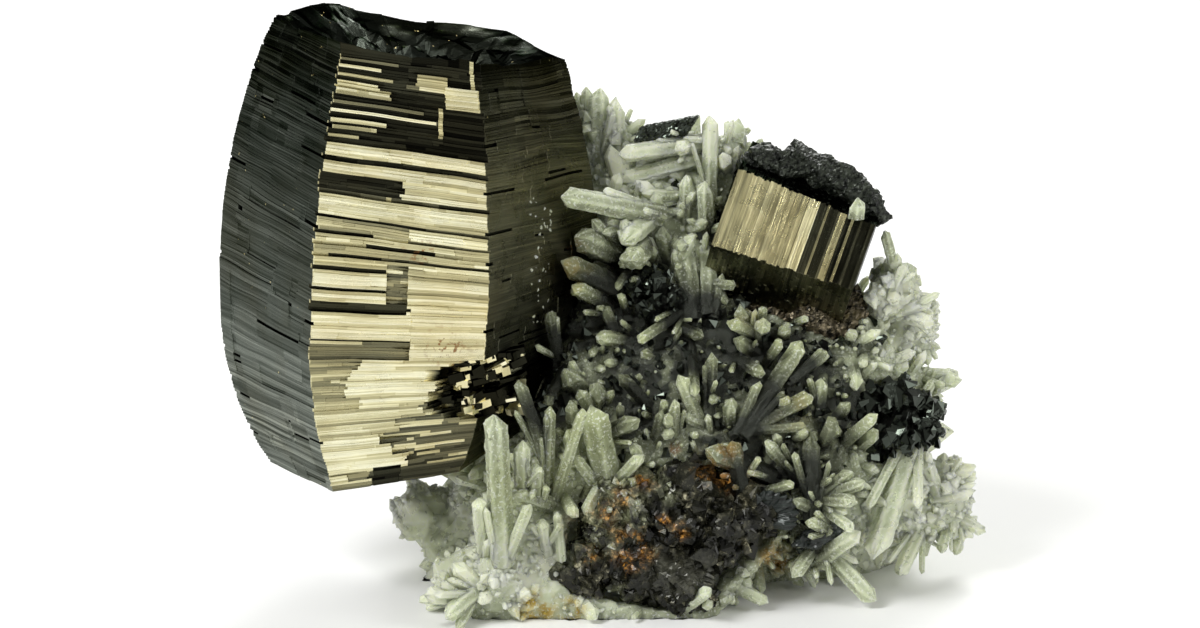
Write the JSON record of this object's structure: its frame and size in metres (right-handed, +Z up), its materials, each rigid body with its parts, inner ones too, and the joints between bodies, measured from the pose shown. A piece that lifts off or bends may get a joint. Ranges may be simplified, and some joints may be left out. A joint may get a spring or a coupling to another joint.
{
  "type": "pyrrhotite specimen",
  "caption": "Loose mineral specimen: stacked-plate pyrrhotite crystals on a druse of quartz needles with black sphalerite and dark sulphide ore, resting on a flat cut.",
  "frame": {"origin": "a point on the flat cut underside, below the middle of the specimen", "axes": "+X along the width from the large crystal to the small one, +Y away from the front, +Z up"},
  "size_m": [0.0804, 0.0406, 0.06],
  "materials": {
    "pyrrhotite": "bright bronze metal lustre, finely striated plates with a dark tarnish",
    "quartz": "frosted, half see-through grey-green crystal with white tips",
    "ore": "dark broken sulphide with glints and rust stains",
    "sphalerite": "black, glassy, faceted",
    "dark_blade": "dark, striated, satin"
  },
  "bodies": {
    "root": {"pyrrhotite_crystal_large": "pyrrhotite", "pyrrhotite_crystal_small": "pyrrhotite", "quartz_druse": "quartz", "quartz_crystal_on_small_pyrrhotite": "quartz", "sulphide_ore": "ore", "sphalerite_cluster_right": "sphalerite", "sphalerite_cluster_centre": "sphalerite", "sphalerite_blade_top": "sphalerite", "dark_blade_lower": "dark_blade"}
  },
  "joints": []
}
